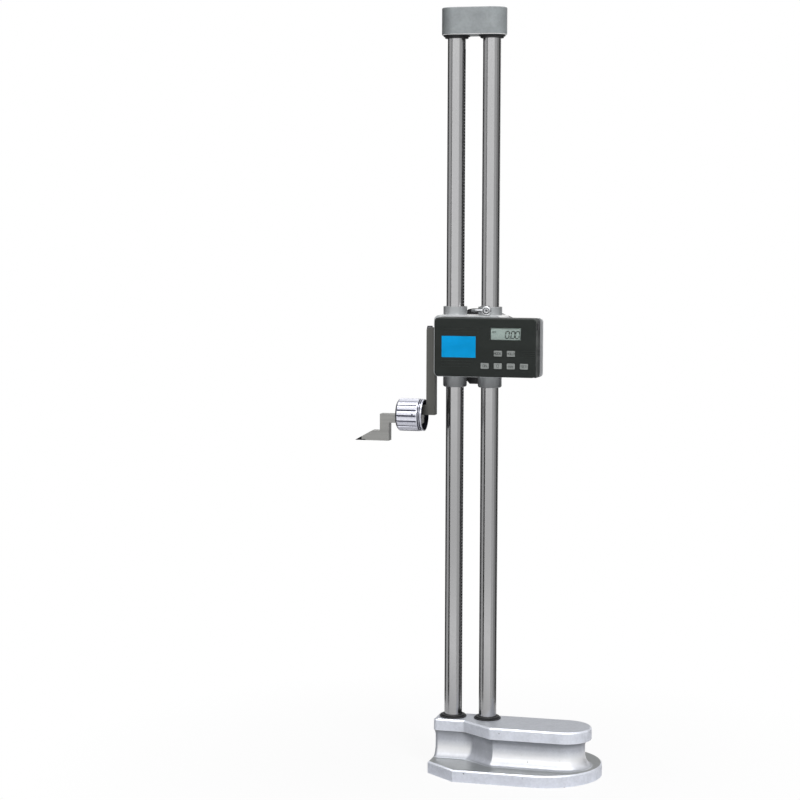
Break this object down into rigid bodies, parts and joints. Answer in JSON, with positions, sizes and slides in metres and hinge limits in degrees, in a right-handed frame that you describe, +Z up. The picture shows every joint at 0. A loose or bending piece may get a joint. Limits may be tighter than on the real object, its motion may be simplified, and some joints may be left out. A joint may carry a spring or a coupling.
{
  "type": "digital height gauge",
  "caption": "Twin-column digital height gauge: a heavy base, a sliding display unit driven by a rear handwheel, and a carbide-tipped scriber held by a fluted clamp ring.",
  "frame": {"origin": "on the underside of the base, midway between the two column axes", "axes": "+X along the base from the columns to its round end, +Y to the back, +Z up along the columns; the display faces -Y and the scriber points to -X"},
  "size_m": [0.254, 0.121, 0.7688],
  "materials": {
    "base_paint": "silver paint over a cast skin",
    "ground_steel": "ground and polished",
    "rack_steel": "cut teeth",
    "bumper_rubber": "matte",
    "bridge_paint": "satin grey paint",
    "black_steel": "blackened",
    "screw_steel": "zinc plated",
    "slider_alloy": "satin, machined",
    "bronze": "bearing bronze",
    "jaw_steel": "dark satin",
    "plate_alloy": "anodised",
    "housing_plastic": "fine texture",
    "nameplate_blue": "bare, satin",
    "lcd_glass": "clear",
    "lcd_cell": "grey-green",
    "board_green": "solder mask",
    "key_rubber": "light grey",
    "mat_rubber": "matte",
    "moulding_black": "plain",
    "cell_steel": "plated can",
    "contact_metal": "springy strip",
    "cover_black": "satin",
    "wheel_plastic": "fine texture",
    "disc_plate": "patterned laminate",
    "lever_chrome": "bright",
    "ring_chrome": "satin chrome",
    "core_steel": "satin",
    "scriber_steel": "satin",
    "carbide": "ground, near black"
  },
  "bodies": {
    "stand": {"base_casting": "base_paint", "column_left": "ground_steel", "column_right": "ground_steel", "feed_rack": "rack_steel", "measuring_rack": "rack_steel", "lower_bumper_rings": "bumper_rubber", "upper_bumper_rings": "bumper_rubber", "top_bridge": "bridge_paint", "column_screws": "black_steel", "bridge_screws": "black_steel"},
    "slider": {"slider_casting": "slider_alloy", "guide_bushes": "bronze", "jaw_arm": "jaw_steel", "arm_screws": "black_steel", "display_plate": "plate_alloy", "plate_screws": "screw_steel", "front_housing": "housing_plastic", "housing_screws": "screw_steel", "nameplate": "nameplate_blue", "lcd_window": "lcd_glass", "lcd_module": "lcd_cell", "circuit_board": "board_green", "key_mat": "mat_rubber", "battery_holder": "moulding_black", "battery_cell": "cell_steel", "battery_contacts": "contact_metal", "data_socket": "moulding_black", "bearing_plate": "plate_alloy", "bearing_plate_screws": "screw_steel", "shaft_bushes": "bronze", "encoder_board": "board_green", "rear_cover": "cover_black", "rear_cover_screws": "screw_steel", "clamp_core": "core_steel", "clamp_circlip": "black_steel"},
    "feed": {"feed_pinion": "bronze", "feed_shaft": "screw_steel", "handwheel": "wheel_plastic", "handwheel_screw": "screw_steel"},
    "encoder": {"measuring_pinion": "bronze", "encoder_shaft": "screw_steel", "encoder_disc": "disc_plate"},
    "lock": {"lock_lever": "lever_chrome", "lock_screw": "black_steel", "lock_pad": "bronze"},
    "key_mode": {"key_mode": "key_rubber"},
    "key_hold": {"key_hold": "key_rubber"},
    "key_power": {"key_power": "key_rubber"},
    "key_zero": {"key_zero": "key_rubber"},
    "key_unit": {"key_unit": "key_rubber"},
    "key_set": {"key_set": "key_rubber"},
    "battery_door": {"battery_door": "housing_plastic"},
    "data_cover": {"data_cover": "mat_rubber"},
    "scriber": {"scriber_body": "scriber_steel", "carbide_tip": "carbide"},
    "clamp_ring": {"clamp_ring": "ring_chrome"},
    "clamp_pin": {"clamp_pin": "screw_steel"}
  },
  "joints": [
    {"name": "slider_slide", "type": "slide", "parent": "stand", "child": "slider", "axis": [0, 0, 1], "range_m": [-0.335, 0.265]},
    {"name": "feed_spin", "type": "hinge", "parent": "slider", "child": "feed", "pos_m": [-0.00243, 0.02, 0.423], "axis": [0, 1, 0], "range_deg": [-1900, 2400]},
    {"name": "encoder_spin", "type": "hinge", "parent": "slider", "child": "encoder", "pos_m": [0.00243, 0.02, 0.442], "axis": [0, 1, 0], "range_deg": [-2400, 1900]},
    {"name": "lock_turn", "type": "hinge", "parent": "slider", "child": "lock", "pos_m": [0.018, -0.0169, 0.4687], "axis": [0, 1, 0], "range_deg": [0, 75]},
    {"name": "key_mode_press", "type": "slide", "parent": "slider", "child": "key_mode", "axis": [0, 1, 0], "range_m": [0, 0.0006], "stiffness_N_per_m": 900},
    {"name": "key_hold_press", "type": "slide", "parent": "slider", "child": "key_hold", "axis": [0, 1, 0], "range_m": [0, 0.0006], "stiffness_N_per_m": 900},
    {"name": "key_power_press", "type": "slide", "parent": "slider", "child": "key_power", "axis": [0, 1, 0], "range_m": [0, 0.0006], "stiffness_N_per_m": 900},
    {"name": "key_zero_press", "type": "slide", "parent": "slider", "child": "key_zero", "axis": [0, 1, 0], "range_m": [0, 0.0006], "stiffness_N_per_m": 900},
    {"name": "key_unit_press", "type": "slide", "parent": "slider", "child": "key_unit", "axis": [0, 1, 0], "range_m": [0, 0.0006], "stiffness_N_per_m": 900},
    {"name": "key_set_press", "type": "slide", "parent": "slider", "child": "key_set", "axis": [0, 1, 0], "range_m": [0, 0.0006], "stiffness_N_per_m": 900},
    {"name": "battery_door_slide", "type": "slide", "parent": "slider", "child": "battery_door", "axis": [0, 0, -1], "range_m": [0, 0.03]},
    {"name": "data_cover_pull", "type": "slide", "parent": "slider", "child": "data_cover", "axis": [1, 0, 0], "range_m": [0, 0.008]},
    {"name": "scriber_slide", "type": "slide", "parent": "slider", "child": "scriber", "axis": [1, 0, 0], "range_m": [-0.015, 0.006]},
    {"name": "clamp_turn", "type": "hinge", "parent": "slider", "child": "clamp_ring", "pos_m": [-0.06, -0.011, 0.36202], "axis": [1, 0, 0], "range_deg": [0, 60]},
    {"name": "clamp_press", "type": "slide", "parent": "slider", "child": "clamp_pin", "axis": [0, 0, 1], "range_m": [0, 0.00025]}
  ],
  "couplings": [
    {"joint": "feed_spin", "follows": "slider_slide", "rad_per_m": -125},
    {"joint": "encoder_spin", "follows": "slider_slide", "rad_per_m": 125},
    {"joint": "clamp_press", "follows": "clamp_turn", "m_per_rad": 0.000238}
  ]
}
